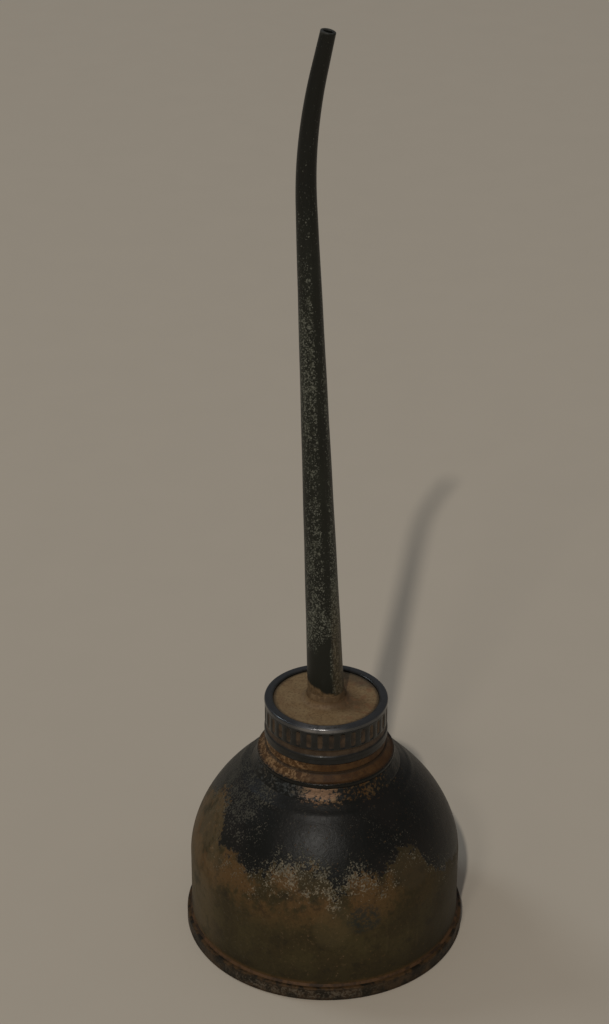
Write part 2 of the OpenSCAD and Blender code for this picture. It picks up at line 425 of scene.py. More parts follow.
def neck_wear(s, fine, broad):
    """Worn ring at the foot of the neck: its share of bare metal, and the metal's colour."""
    ring = s.step(s.z + (broad - 0.5) * 3.0, FLANGE_Z - 3.0, FLANGE_Z - 1.1)
    around = s.curve(s.angle, -180, 180, [
        (-180, 0.2), (-110, 0.3), (-60, 0.5), (-38, 0.55), (-20, 0.7), (-10, 1.0), (4, 1.0),
        (13, 0.45), (22, 0.4), (34, 0.8), (44, 0.5), (60, 0.15), (120, 0.1), (180, 0.2),
    ])
    share = s.step(fine + ring * around * 0.26, 0.62, 0.74)
    bare = s.mix(s.step(s.angle, -12.0, -26.0), COPPER, BLUE_GREY)
    bare = s.mix(s.step(s.angle, 6.0, 20.0), bare, RUST)
    bare = s.mix(s.step(broad, 0.45, 0.62) * 0.5, bare, TAN)
    return share, bare


def body_material():
    """Black paint on the dome, worn to brown tinplate in a ragged line round the shoulder."""
    s = Shader("body_worn_paint")
    # height of the paint's lower edge, going round the can
    edge = s.curve(s.angle, -180, 180, [
        (-180, 19), (-150, 22), (-120, 20.5), (-95, 24.5), (-80, 27.6), (-70, 27.4), (-62, 25),
        (-57, 21.6), (-46, 22.2), (-36, 21.2), (-29, 22.0), (-20, 23.6), (-10, 23.9),
        (0, 23.6), (5, 20.6), (8, 20.4), (13, 23.4), (19, 22.8), (26, 21.6), (33, 23.3),
        (40, 24.4), (48, 23.8), (53, 19.6), (62, 17.4), (85, 16.5), (110, 20), (145, 21.5), (180, 19),
    ])
    broad = s.noise(2.6, 4.0, 0.62)
    grit = s.noise(0.50, 5.0, 0.72, shift=(7, 3, 5))
    flecks = s.noise(0.30, 3.0, 0.6, shift=(1, 9, 4))
    cloud = s.noise(5.5, 4.0, 0.6, shift=(12, 0, 3))
    stain = s.noise(3.2, 5.0, 0.65, shift=(4, 8, 1))
    fine = s.noise(0.5, 4.0, 0.7, shift=(2, 5, 9))
    # the front of the edge and its far left are the most broken up
    islands = s.noise(1.2, 3.0, 0.6, shift=(6, 2, 7))
    broken = s.step(s.math("ABSOLUTE", s.angle + 6.0), 34.0, 14.0)
    left = s.step(s.angle, -44.0, -62.0) * s.step(s.angle, -160.0, -125.0)
    wander = (broad - 0.5) * 5.0 + (grit - 0.5) * (3.0 + broken * 7.0 + left * 8.0)
    wander = wander + (islands - 0.5) * (3.0 + broken * 7.0)
    height = s.z + wander - edge
    paint = s.step(height, -0.30, 0.30)
    # pale flecks: dense beside the edge at the front, thinner over the upper left
    near_edge = s.step(s.math("ABSOLUTE", height + 0.6), 4.2, 0.4)
    over_left = s.step(s.angle, -26.0, -52.0) * s.step(s.angle, -170.0, -120.0)
    over_left = over_left * s.step(s.z + (broad - 0.5) * 8.0, 22.5, 28.0)
    dense = s.math("MAXIMUM", near_edge * (0.30 + broken * 0.62), over_left * 0.78)
    chips = s.step(flecks + dense * 0.21 + (broad - 0.5) * 0.42 + (cloud - 0.5) * 0.2, 0.65, 0.735)
    chips = chips * s.step(dense + paint * 0.08, 0.0, 0.2)
    ring, ring_color = neck_wear(s, fine, broad)

    # tinplate under the paint: olive below, browner with rusty clouds towards the shoulder
    high = s.step(s.z + (stain - 0.5) * 6.0, 11.0, 19.0) * (1.0 - s.step(s.angle, 14.0, 48.0) * 0.65)
    metal = s.mix(s.step(cloud, 0.36, 0.64), OLIVE_BROWN, OLIVE)
    metal = s.mix(high * s.step(cloud + (islands - 0.5) * 0.4, 0.40, 0.58) * 0.8, metal, RUST)
    metal = s.mix(s.step(stain, 0.52, 0.68) * 0.7, metal, DARK_BROWN)
    metal = s.mix(s.step(fine, 0.54, 0.74) * 0.34, metal, TAN)
    metal = s.mix(s.step(fine, 0.47, 0.34) * 0.45, metal, DARK_BROWN)
    metal = s.mix(s.step(s.z, 9.0, 3.5) * 0.45, metal, DARK_BROWN)
    metal = s.mix(s.step(s.angle, 22.0, 60.0) * s.step(s.angle, 175.0, 120.0) * 0.40, metal, DARK_BROWN)
    arch = s.spot(43, 21.4, 13, 3.6, stain)
    metal = s.mix(arch * 0.55, metal, (0.068, 0.050, 0.026))
    metal = s.mix(left * s.step(stain, 0.36, 0.56) * 0.45, metal, TAN)
    yellowed = s.spot(4, 14.5, 9, 4.5, cloud)
    metal = s.mix(yellowed * 0.35, metal, (0.120, 0.090, 0.040))
    blue = s.spot(17, 15.4, 7.5, 3.0, stain) * s.step(grit, 0.40, 0.56)
    metal = s.mix(blue * 0.70, metal, (0.021, 0.029, 0.027))
    scratch = s.noise(0.9, 2.0, 0.5, stretch=(1, 1, 0.10), shift=(3, 3, 3))
    metal = s.mix(s.step(scratch, 0.64, 0.72) * 0.08, metal, TAN)
    foot = s.step(s.z, 3.6, 2.9) * s.step(broad, 0.32, 0.5)
    metal = s.mix(foot * 0.6, metal, RUST)

    haze = s.noise(7.0, 2.0, 0.5, shift=(5, 5, 0))
    black = s.mix(s.step(haze, 0.35, 0.7) * 0.6, BLACK, CHARCOAL)
    color = s.mix(paint, metal, black)
    pale = s.mix(s.step(grit, 0.46, 0.60), GREY_TAN, PALE_TAN)
    pale = s.mix(over_left, pale, GREY_TAN)
    color = s.mix(chips * (0.80 - over_left * 0.34), color, pale)
    color = s.mix(ring * 0.9, color, ring_color)
    bare = s.math("MAXIMUM", chips, ring)
    kept = paint * (1.0 - bare)
    rough = s.step(kept, 0.0, 1.0, 0.58, 0.41) + (haze - 0.5) * 0.18 + (fine - 0.5) * 0.2
    return s.finish(
        color, rough, ring * 0.5 + (1.0 - kept) * 0.15,
        bumps=[(kept, 0.035), (fine, 0.045), (s.noise(3.0, 2.0, 0.5), 0.09)], specular=0.27,
    )


def rim_material():
    """Dark, rusted hoop, rubbed grey along its front and orange at its lip."""
    s = Shader("rim_rust")
    cloud = s.noise(2.4, 5.0, 0.65)
    fine = s.noise(0.4, 4.0, 0.7, shift=(3, 1, 2))
    color = s.mix(s.step(cloud, 0.40, 0.64), (0.018, 0.014, 0.008), (0.062, 0.036, 0.016))
    color = s.mix(s.step(s.z, 2.1, 2.45) * s.step(cloud, 0.40, 0.60) * 0.5, color, RUST)
    front = s.step(s.math("ABSOLUTE", s.angle + 12.0), 42.0, 18.0)
    rubbed = s.step(fine + (cloud - 0.5) * 0.5, 0.46, 0.62) * s.step(s.z, 0.3, 0.9)
    rubbed = rubbed * s.step(s.z, 2.35, 1.8)
    color = s.mix(rubbed * (0.12 + front * 0.48), color, (0.190, 0.160, 0.120))
    return s.finish(color, s.step(fine, 0.2, 0.8, 0.45, 0.72), 0.2,
                    bumps=[(fine, 0.08), (cloud, 0.12)], specular=0.3)


def seam_material():
    """Tarnished solder, orange-brown along the foot of the wall."""
    s = Shader("seam_solder_rust")
    cloud = s.noise(1.8, 4.0, 0.6)
    color = s.mix(s.step(cloud, 0.36, 0.62), (0.040, 0.023, 0.011), (0.120, 0.060, 0.024))
    return s.finish(color, 0.62, 0.15, bumps=[(cloud, 0.08)], specular=0.3)


def neck_material():
    """Orange-brown rust on the flange's slope, band and thread; black on the rolled edge."""
    s = Shader("neck_rust")
    cloud = s.noise(1.7, 5.0, 0.62, shift=(2, 2, 2))
    fine = s.noise(0.35, 4.0, 0.7)
    pale = s.noise(0.9, 3.0, 0.6, shift=(9, 0, 4))
    color = s.mix(s.step(cloud, 0.36, 0.64), (0.068, 0.029, 0.008), (0.108, 0.052, 0.016))
    patch = s.step(pale + (fine - 0.5) * 1.6, 0.44, 0.70) * s.step(s.angle, -2.0, -34.0)
    color = s.mix(patch * 0.85, color, (0.440, 0.265, 0.125))
    color = s.mix(s.step(fine, 0.48, 0.68) * 0.55, color, (0.040, 0.024, 0.011))
    groove_z = FLANGE_Z + 2.15
    groove = s.step(s.math("ABSOLUTE", s.z - groove_z), 0.40, 0.16)
    color = s.mix(groove * 0.75, color, (0.032, 0.022, 0.013))
    rolled = s.step(s.z + (fine - 0.5) * 0.35, FLANGE_Z + 1.02, FLANGE_Z + 0.78)
    color = s.mix(rolled, color, BLACK)
    rough = s.step(rolled, 0.0, 1.0, 0.58, 0.25)
    return s.finish(color, rough, 0.0, specular=0.28,
                    bumps=[(fine * (1.0 - rolled), 0.07), (cloud, 0.05)])


def fillet_material():
    """Solder round the neck: painted black, rubbed to a coppery shine at the front."""
    s = Shader("neck_fillet_wear")
    broad = s.noise(2.6, 4.0, 0.62)
    fine = s.noise(0.5, 4.0, 0.7, shift=(2, 5, 9))
    share, bare = neck_wear(s, fine, broad)
    color = s.mix(share * 0.9, BLACK, bare)
    return s.finish(color, s.step(share, 0.0, 1.0, 0.40, 0.46), share * 0.5,
                    bumps=[(fine, 0.07), (broad, 0.08)], specular=0.32)


def cap_material():
    """Glossy black on the rolled rim, rust in the flutes and along the plain band."""
    s = Shader("cap_black")
    cloud = s.noise(1.5, 4.0, 0.6, shift=(8, 2, 0))
    fine = s.noise(0.32, 4.0, 0.7, shift=(0, 7, 2))
    radius = s.math("SQRT", s.x * s.x + s.y * s.y)
    groove_low = CAP_Z + 1.60
    groove_high = CAP_Z + 2.7
    in_flute = s.step(radius + (fine - 0.5) * 0.10, CAP_R - 0.13, CAP_R - 0.27)
    fluted = s.step(s.z, groove_high, groove_high + 0.15) * s.step(s.z, CAP_Z + 5.95, CAP_Z + 5.75)
    band = s.step(s.z + (fine - 0.5) * 0.3, groove_low - 0.1, groove_low + 0.2)
    band = band * s.step(s.z + (fine - 0.5) * 0.3, groove_high + 0.15, groove_high - 0.1)
    black = s.mix(s.step(cloud, 0.4, 0.7) * 0.5, BLACK, (0.024, 0.025, 0.027))
    rust = s.mix(s.step(cloud, 0.38, 0.6), (0.058, 0.034, 0.018), (0.095, 0.060, 0.032))
    worn = s.math("MAXIMUM", in_flute * fluted * (0.35 + s.step(cloud, 0.3, 0.55) * 0.6), band * 0.92)
    color = s.mix(worn, black, rust)
    crest = s.step(s.z, CAP_TOP - 0.35, CAP_TOP - 0.05) * s.step(fine + (cloud - 0.5) * 0.5, 0.50, 0.62)
    front = s.step(s.math("ABSOLUTE", s.angle - 8.0), 60.0, 20.0)
    color = s.mix(crest * (0.15 + front * 0.45), color, (0.100, 0.060, 0.031))
    low = s.step(s.z, groove_high, groove_low)
    rolled = s.step(s.z, CAP_TOP - 1.0, CAP_TOP - 0.6)
    rough = s.step(worn, 0.0, 1.0, 0.27, 0.62) + (cloud - 0.5) * 0.12 + low * (1.0 - worn) * 0.16
    rough = rough - rolled * 0.04
    # the rolled rim is rubbed to a blued-steel shine, and a painted highlight brightens it at the front
    shine = rolled * s.step(radius, CAP_R - 1.5, CAP_R - 0.7) * s.step(cloud, 0.10, 0.60)
    color = s.mix(shine, color, (0.115, 0.118, 0.122))
    # painted highlight: the shine is lightened at the front of the rim, where the key light's highlight
    # falls
    bright = s.step(s.math("ABSOLUTE", s.angle + 6.0), 30.0, 6.0)
    color = s.mix(shine * bright, color, (0.360, 0.350, 0.345))
    return s.finish(color, rough, s.math("MAXIMUM", worn * 0.1, shine * 0.88),
                    bumps=[(fine * worn, 0.06), (cloud, 0.04)],
                    coat=0.12, coat_roughness=0.12, specular=0.42)


def plate_material():
    """Khaki plate: paint long gone, brown oil stains round the spout and reddish spots."""
    s = Shader("plate_khaki")
    cloud = s.noise(4.0, 5.0, 0.62, shift=(3, 1, 0))
    fine = s.noise(0.45, 4.0, 0.7, shift=(1, 0, 8))
    spots = s.noise(1.1, 3.0, 0.5, shift=(6, 6, 6))
    radius = s.math("SQRT", s.x * s.x + s.y * s.y)
    color = s.mix(s.step(cloud, 0.36, 0.62), KHAKI, KHAKI_LIGHT)
    color = s.mix(s.step(fine, 0.47, 0.66) * 0.62, color, (0.150, 0.092, 0.042))
    color = s.mix(s.step(spots, 0.52, 0.66) * 0.28, color, (0.190, 0.095, 0.045))
    across, along = s.x - 2.7, s.y + 1.3
    off = s.math("SQRT", across * across + along * along)
    ring = s.step(off + (cloud - 0.5) * 3.0, 4.8, 1.6)
    color = s.mix(ring * 0.62, color, (0.095, 0.048, 0.020))
    collar = s.step(radius + (fine - 0.5) * 1.0, 4.9, 3.7)
    color = s.mix(collar * 0.35, color, (0.120, 0.070, 0.032))
    right_red = s.step(s.x + (spots - 0.5) * 8.0, 2.0, 6.0) * s.step(spots, 0.48, 0.62)
    color = s.mix(right_red * 0.55, color, (0.290, 0.150, 0.068))
    edge = s.step(radius + (fine - 0.5) * 0.5, PLATE_R - 0.75, PLATE_R - 0.10)
    color = s.mix(edge * 0.8, color, (0.060, 0.042, 0.022))
    back = s.spot(150, PLATE_Z, 40, 4.0, cloud) * s.step(radius, 5.5, 7.5)
    color = s.mix(back * 0.5, color, (0.050, 0.046, 0.038))
    return s.finish(color, s.step(fine, 0.2, 0.8, 0.5, 0.75), 0.12,
                    bumps=[(fine, 0.05), (cloud, 0.10)])


def spout_material():
    """Greenish black paint, rubbed through in small pale flecks on the lower half."""
    s = Shader("spout_flecked_paint")
    up = s.z
    cloud = s.noise(3.4, 4.0, 0.6, stretch=(1.3, 1.3, 0.45))
    fine = s.noise(0.50, 4.0, 0.70, shift=(4, 4, 4), stretch=(1, 1, 0.75))
    tiny = s.noise(0.26, 2.0, 0.6, shift=(8, 1, 3))
    # sideways distance from the spout's middle line, along its straight length
    off = s.x + (up - PLATE_Z) * math.tan(math.radians(-LEAN_LOW))
    low_part = s.step(up, 128.0, 118.0)
    amount = s.curve(up, 40, 160, [
        (40, 0.16), (52, 0.15), (60, 0.20), (70, 0.17), (84, 0.12), (94, 0.17), (106, 0.19),
        (116, 0.13), (124, 0.06), (134, 0.025), (148, 0.01), (160, 0.01),
    ])
    # painted shade along the seam: the seam is a real ridge, and fewer pale flecks in a stripe beside
    # it keep that stripe darker
    seam_shade = s.step(s.math("ABSOLUTE", off - 1.0), 0.75, 0.30) * low_part * s.step(up, 58.0, 66.0)
    right = s.step(off, 0.9, 1.9) * s.step(up, 68.0, 50.0)
    patch_top = s.step(up - off * 0.9 + (cloud - 0.5) * 5.0, 55.8, 54.2)
    patch_foot = s.step(up + off * 0.45 + (cloud - 0.5) * 2.5, 46.5, 47.0)
    patch = s.step(off + (cloud - 0.5) * 1.6, 1.15, 0.85) * patch_top * patch_foot
    patch = patch * s.step(s.y, 0.9, 0.3)
    open_share = amount + (cloud - 0.5) * 0.25 + right * 0.05 - patch * 0.6 - seam_shade * 0.12
    flecks = s.step(fine + open_share, 0.69, 0.735)
    specks = s.step(tiny + open_share * 0.7, 0.70, 0.74)
    worn = s.math("MAXIMUM", flecks, specks)
    worn_color = s.mix(s.step(tiny, 0.44, 0.60), (0.055, 0.058, 0.040), (0.230, 0.235, 0.190))
    worn_color = s.mix(right * 0.55, worn_color, TAN)
    paint = s.mix(s.step(cloud, 0.35, 0.7), GREEN_BLACK, (0.018, 0.020, 0.013))
    paint = s.mix(right * (1.0 - patch) * 0.75, paint, (0.070, 0.052, 0.026))
    paint = s.mix(patch, paint, GREEN_BLACK)
    paint = s.mix(s.step(up, 116.0, 132.0) * 0.8, paint, (0.0060, 0.0066, 0.0045))
    color = s.mix(worn * 0.85, paint, worn_color)
    foot_edge = up + off * 0.45 + (cloud - 0.5) * 2.5
    bare_foot = s.step(foot_edge, 47.0, 46.4)
    foot_color = s.mix(s.step(fine, 0.4, 0.65), SOLDER, SOLDER_DARK)
    color = s.mix(bare_foot * 0.92, color, foot_color)
    tip = s.step(up + (fine - 0.5) * 0.6, SPOUT_HIGH[2] - 0.55, SPOUT_HIGH[2] - 0.15)
    color = s.mix(tip * 0.5, color, (0.100, 0.100, 0.090))
    rough = s.step(worn, 0.0, 1.0, 0.42, 0.50) + (cloud - 0.5) * 0.12
    return s.finish(color, rough, worn * 0.25,
                    bumps=[(worn, -0.03), (fine, 0.03), (cloud, 0.05)], specular=0.35)


def solder_material():
    """Dull grey-brown solder at the foot of the spout."""
    s = Shader("spout_fillet_solder")
    cloud = s.noise(0.9, 4.0, 0.6)
    color = s.mix(s.step(cloud, 0.4, 0.62), SOLDER_DARK, SOLDER)
    color = s.mix(s.step(s.x + (cloud - 0.5) * 3.0, 1.0, 3.2) * 0.6, color, (0.060, 0.034, 0.016))
    return s.finish(color, s.step(cloud, 0.2, 0.8, 0.50, 0.66), 0.1, bumps=[(cloud, 0.08)],
                    specular=0.3)


def bottom_material():
    """Brown-stained spring steel, rubbed bright in rings where the thumb presses."""
    s = Shader("bottom_spring_steel")
    radius = s.math("SQRT", s.x * s.x + s.y * s.y)
    cloud = s.noise(3.5, 5.0, 0.62)
    fine = s.noise(0.4, 4.0, 0.7, shift=(1, 2, 3))
    turning = s.noise(0.35, 2.0, 0.5, stretch=(0.05, 0.05, 0.05))
    color = s.mix(s.step(cloud, 0.36, 0.62), (0.070, 0.044, 0.022), (0.150, 0.098, 0.052))
    rubbed = s.step(radius + (cloud - 0.5) * 6.0, 10.0, 4.5) * s.step(fine, 0.34, 0.60)
    color = s.mix(rubbed * 0.7, color, STEEL)
    color = s.mix(s.step(fine, 0.56, 0.72) * 0.5, color, (0.032, 0.022, 0.014))
    return s.finish(color, s.step(rubbed, 0.0, 1.0, 0.62, 0.36), rubbed * 0.6 + 0.15,
                    bumps=[(fine, 0.05), (cloud, 0.08), (turning, 0.02)])


def leather_material():
    """Oil-soaked leather washer."""
    s = Shader("gasket_leather_grain")
    grain = s.noise(0.35, 4.0, 0.6)
    cloud = s.noise(2.0, 3.0, 0.6)
    color = s.mix(s.step(cloud, 0.35, 0.65), LEATHER, (0.060, 0.034, 0.018))
    return s.finish(color, s.step(grain, 0.2, 0.8, 0.45, 0.70), bumps=[(grain, 0.07)])


# ---------------------------------------------------------------- pieces

def placed(piece, body, slot, *nodes):
    """The piece rides on a body and stands for CAD nodes; slot is not used."""
    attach(piece, body)
    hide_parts(*nodes)
    return piece


def dome_z(r):
    """Height of the dome's outer face at a radius."""
    return WALL_TOP + DOME_RISE * (1 - (r / WALL_R) ** DOME_POWER) ** (1 / DOME_POWER)


def dome_path(r_low, r_high, steps):
    """Points of the dome between two radii, the lower and larger one first."""
    angles = [math.acos((r / WALL_R) ** (DOME_POWER / 2)) for r in (r_low, r_high)]
    a = np.linspace(angles[0], angles[1], steps)
    r = WALL_R * np.cos(a) ** (2 / DOME_POWER)
    z = WALL_TOP + DOME_RISE * np.sin(a) ** (2 / DOME_POWER)
    return np.stack([r, z], axis=1)


def build_body():
    """Bell of drawn tinplate with a faint pressed crease below the neck."""
    lip_r = BAND_R - SHEET - 0.25
    top = dome_path(WALL_R, lip_r + 1.0, 84)
    foot_z = RIM_TOP - SHEET - 0.1
    path = rounded([
        (WALL_R + 0.30, foot_z), (WALL_R, foot_z, 0.15), (WALL_R, 8), (WALL_R, WALL_TOP - 0.1),
    ])
    lip = rounded([tuple(top[-1]), (lip_r, top[-1][1] + 0.55, 0.6), (lip_r, FLANGE_Z + 1.7)])
    outer = resampled(np.vstack([path, top, lip[1:]]), 0.6)

    def relief(angle, r, z):
        outside = np.arange(len(r))[:, None] < len(outer)
        crease = 0.10 * np.exp(-((r - CREASE_R) / 0.42) ** 2) * (z > 25)
        fade = np.clip((z - 2.6) / 3, 0, 1) * np.clip((r - 12.8) / 1.5, 0, 1)
        dents = 0.07 * waves(angle, z, 4, 6.0) * fade
        dent_front = -0.10 * np.exp(-((angle - 0.35) / 0.28) ** 2 - ((z - 17.5) / 3.2) ** 2)
        dent_back = -0.22 * np.exp(-((angle - 3.6) / 0.32) ** 2 - ((z - 13) / 3.4) ** 2)
        return (crease + dents + (dent_front + dent_back) * fade) * outside

    return revolved("can_body", thickened(outer, SHEET), body_material(), 256, relief)


def build_rim():
    """Crimped hoop, a little uneven from the crimping rollers."""
    t = SHEET - 0.05
    outline = rounded([
        (FOLD_R, CLAMP_Z), (FOLD_R, 0, 0.4), (RIM_R, 0, 0.5), (RIM_R, RIM_TOP, 0.5),
        (WALL_R + 0.15, RIM_TOP, 0.15), (WALL_R + 0.15, RIM_TOP - t, 0.1),
        (RIM_R - t, RIM_TOP - t, 0.15), (RIM_R - t, t, 0.15), (FOLD_R + t, t, 0.15),
        (FOLD_R + t, CLAMP_Z), (FOLD_R, CLAMP_Z),
    ], 6)

    def relief(angle, r, z):
        outside = (r > RIM_R - 0.45) * (z > 0.35)
        knocks = np.zeros_like(angle + r)
        for at, wide, deep in ((-0.5, 0.06, 0.16), (0.42, 0.09, 0.12), (1.3, 0.05, 0.2),
                               (2.5, 0.10, 0.18), (3.9, 0.07, 0.2), (5.1, 0.08, 0.15)):
            turn = np.angle(np.exp(1j * (angle - at)))
            knocks -= deep * np.exp(-(turn / wide) ** 2)
        return (0.05 * waves(angle, z, 9) - 0.05 + knocks * 0.7) * outside

    return revolved("can_rim", resampled(outline, 0.6), rim_material(), 288, relief)


def build_seam():
    """Bead of solder in the corner between the rim's lip and the wall."""
    lip = WALL_R + 0.13
    outline = rounded([
        (WALL_R - 0.02, RIM_TOP - 0.5), (lip, RIM_TOP - 0.5), (lip, RIM_TOP - 0.02),
        (lip + 0.22, RIM_TOP + 0.02, 0.05), (WALL_R + 0.06, RIM_TOP + 0.30, 0.2),
        (WALL_R - 0.02, RIM_TOP + 0.42), (WALL_R - 0.02, RIM_TOP - 0.5),
    ])

    def relief(angle, r, z):
        return 0.03 * waves(angle * 2, z, 21) * (z > RIM_TOP)

    return revolved("seam_solder_bead", resampled(outline, 0.25), seam_material(), 256, relief)


def build_bottom():
    """Spring steel bottom stepped down in rings to the thumb pad."""
    thick = 0.34
    top = BOTTOM_HIGH[2]
    crown = top - BOTTOM_LOW[2] - thick
    edge_r = BOTTOM_HIGH[0]
    web_r = FOLD_R - 0.8
    pad_r = 6.8
    rings = 4
    run = (web_r - pad_r) / rings
    drop = crown / rings
    path = [(edge_r, top)]
    for i in range(rings):
        path.append((web_r - run * i, top - drop * i, 0.7))
        path.append((web_r - run * (i + 0.7), top - drop * (i + 0.35), 0.5))
    path += [(pad_r, top - crown, 0.8), (0, top - crown)]
    upper = resampled(rounded(path, 6), 0.4)
    lower = upper - np.array([0, thick])
    outline = np.vstack([lower[::-1], upper])
    return revolved("spring_bottom", outline, bottom_material(), 200, closed=False)


def thread_points(r0, r1, z0, turns):
    """Helical ridge with faded ends: rings of four points, from r0 in the wall to r1."""
    per_turn = 64
    rings = int(turns * per_turn)
    points = []
    for i in range(rings + 1):
        a = 2 * math.pi * i / per_turn
        fade = min(1.0, min(i, rings - i) / 9)
        fade = fade * fade * (3 - 2 * fade)
        crest = r1 - (r1 - r0) * 0.62 * (1 - fade)
        for r, z in ((r0, -0.47), (crest, -0.17), (crest, 0.17), (r0, 0.47)):
            points.append((r * math.cos(a), r * math.sin(a), z0 + PITCH * i / per_turn + z))
    faces = [
        (4 * i + k, 4 * i + k + 4, 4 * i + (k + 1) % 4 + 4, 4 * i + (k + 1) % 4)
        for i in range(rings) for k in range(4)
    ]
    end = 4 * rings
    faces += [(0, 1, 2, 3), (end + 3, end + 2, end + 1, end)]
    if r1 < r0:
        faces = [tuple(reversed(f)) for f in faces]
    return points, faces


def build_neck():
    """Filler neck: rolled flange edge, slope, dark groove, plain band and threaded tube."""
    bore = TUBE_R - SHEET - 0.05
    slope_z = FLANGE_Z + 2.0
    groove_z = slope_z + 0.35
    band_z = groove_z + 1.4
    inside_r = BAND_R - SHEET - 0.2
    outline = rounded([
        (FLANGE_R - 0.6, FLANGE_Z), (FLANGE_R - 0.02, FLANGE_Z - 0.02, 0.42),
        (FLANGE_R, FLANGE_Z + 0.85, 0.45), (FLANGE_R - 0.62, FLANGE_Z + 0.98, 0.18),
        (BAND_R + 0.1, slope_z, 0.3), (BAND_R - 0.2, slope_z + 0.1, 0.1),
        (BAND_R - 0.2, groove_z - 0.06, 0.1), (BAND_R, groove_z, 0.12),
        (BAND_R, band_z, 0.22), (TUBE_R, band_z, 0.15), (TUBE_R, NECK_TOP, 0.2),
        (bore, NECK_TOP, 0.15), (bore, band_z - SHEET, 0.2), (inside_r, band_z - SHEET, 0.2),
        (inside_r, slope_z - 0.1, 0.2), (FLANGE_R - 1.1, FLANGE_Z + 0.4, 0.2),
        (FLANGE_R - 0.6, FLANGE_Z),
    ], 6)

    def relief(angle, r, z):
        slope = (r > BAND_R - 0.3) * (z < slope_z + 1.6)
        return 0.035 * waves(angle * 2, z, 33) * slope

    material = neck_material()
    neck = revolved("filler_neck", resampled(outline, 0.3), material, 256, relief)
    thread_z = CAP_Z + THREAD_START + PITCH / 2
    points, faces = thread_points(
        TUBE_R - THREAD_SUNK, TUBE_R + THREAD_PROUD, thread_z, NECK_TURNS)
    thread = make_mesh("filler_neck_thread", points, faces, material, smooth=False)
    return neck, thread


def build_neck_fillet():
    """Solder run round the flange, lumpy as poured."""
    low, high = FLANGE_R + 0.95, FLANGE_R - 0.45
    under = dome_path(low, high, 8)
    over = rounded([
        (low, under[0][1]), (FLANGE_R + 0.26, FLANGE_Z - 0.75, 0.5),
        (FLANGE_R - 0.12, FLANGE_Z + 0.03, 0.2), (high, FLANGE_Z + 0.05),
    ])
    below = under[::-1] - np.array([0.0, 0.05])
    outline = np.vstack([over, below, over[:1]])

    def relief(angle, r, z):
        shown = (z > dome_z(np.minimum(r, WALL_R)) + 0.08)
        return 0.07 * waves(angle * 4, z, 41) * shown

    return revolved("neck_fillet", resampled(outline, 0.3), fillet_material(), 256, relief)


def build_cap():
    """Screw cap: curled foot, plain band, pressed flutes with round ends and a rolled rim."""
    curl = CAP_Z + 1.55
    low, high = CAP_Z + 2.8, CAP_Z + 5.85
    ledge_z = PLATE_Z - PLATE_T - 0.02
    inside_r = SKIRT_R - SHEET
    outline = rounded([
        (SKIRT_R - 0.2, CAP_Z + 0.1), (SKIRT_R, CAP_Z, 0.1), (CAP_R, CAP_Z + 0.05, 0.4),
        (CAP_R, CAP_Z + 0.72, 0.2), (CAP_R - 0.03, CAP_Z + 0.82, 0.1),
        (CAP_R, CAP_Z + 0.92, 0.2), (CAP_R, curl - 0.08, 0.5),
        (SKIRT_R, curl + 0.12, 0.2), (SKIRT_R - 0.02, low - 0.35, 0.3),
        (CAP_R - 0.06, low - 0.05, 0.2), (CAP_R - 0.06, high + 0.05, 0.12),
        (CAP_R - 0.10, high + 0.18, 0.08), (CAP_R, high + 0.3, 0.1),
        (CAP_R, CAP_TOP - 0.03, 0.95), (9.3, CAP_TOP, 0.3), (PLATE_R, CAP_TOP - 0.06, 0.4),
        (PLATE_R, ledge_z),
    ])
    inside = rounded([
        (PLATE_R, ledge_z), (7.6, ledge_z), (7.6, ledge_z - SHEET),
        (inside_r, ledge_z - SHEET, 0.2), (inside_r, CAP_Z + 0.25), (SKIRT_R - 0.2, CAP_Z + 0.1),
    ], 3)
    outline = np.vstack([resampled(outline, 0.18), resampled(inside, 1.2)[1:]])

    def relief(angle, r, z):
        across = np.abs(((angle * FLUTES / (2 * np.pi)) % 1.0) - 0.5) * 2
        wall = (r > SKIRT_R - 0.05) * (z > low - 0.5) * (z < high + 0.3)
        mid, half = (low + high) / 2, (high - low) / 2
        up = np.clip(1 - ((z - mid) / (half - 0.05)) ** 4, 0, 1)
        cut = 1 / (1 + np.exp((across - 0.42) * 12))
        rim = 0.008 * waves(angle * 2, z, 57) * (z > high + 0.4) * (r > PLATE_R + 0.1)
        return (-0.30 * cut * up) * wall + rim

    material = cap_material()
    cap = revolved("screw_cap", outline, material, FLUTES * 14, relief)
    points, faces = thread_points(
        inside_r + THREAD_SUNK, inside_r - THREAD_PROUD, CAP_Z + THREAD_START, CAP_TURNS)
    thread = make_mesh("screw_cap_thread", points, faces, material, smooth=False)
    return cap, thread


def build_plate():
    """Plate let into the cap, slightly dished, with an upturned collar."""
    hole = SPOUT_HOLE_R
    outline = rounded([
        (hole, PLATE_Z - PLATE_T), (PLATE_R - 0.02, PLATE_Z - PLATE_T),
        (PLATE_R - 0.02, PLATE_Z, 0.1), (PLATE_R - 0.9, PLATE_Z + 0.02, 0.4),
        (6.0, PLATE_Z - 0.04, 1.0), (hole + 0.75, PLATE_Z + 0.02, 0.8),
        (hole + 0.24, COLLAR_TOP - 0.45, 0.6), (hole + 0.16, COLLAR_TOP, 0.1),
        (hole, COLLAR_TOP), (hole, PLATE_Z - PLATE_T),
    ], 8)

    def relief(angle, r, z):
        return 0.03 * waves(angle, r * 2, 61) * (z > PLATE_Z - 0.15) * (r < PLATE_R - 0.3)

    return revolved("cap_top_plate", resampled(outline, 0.3), plate_material(), 256, relief)


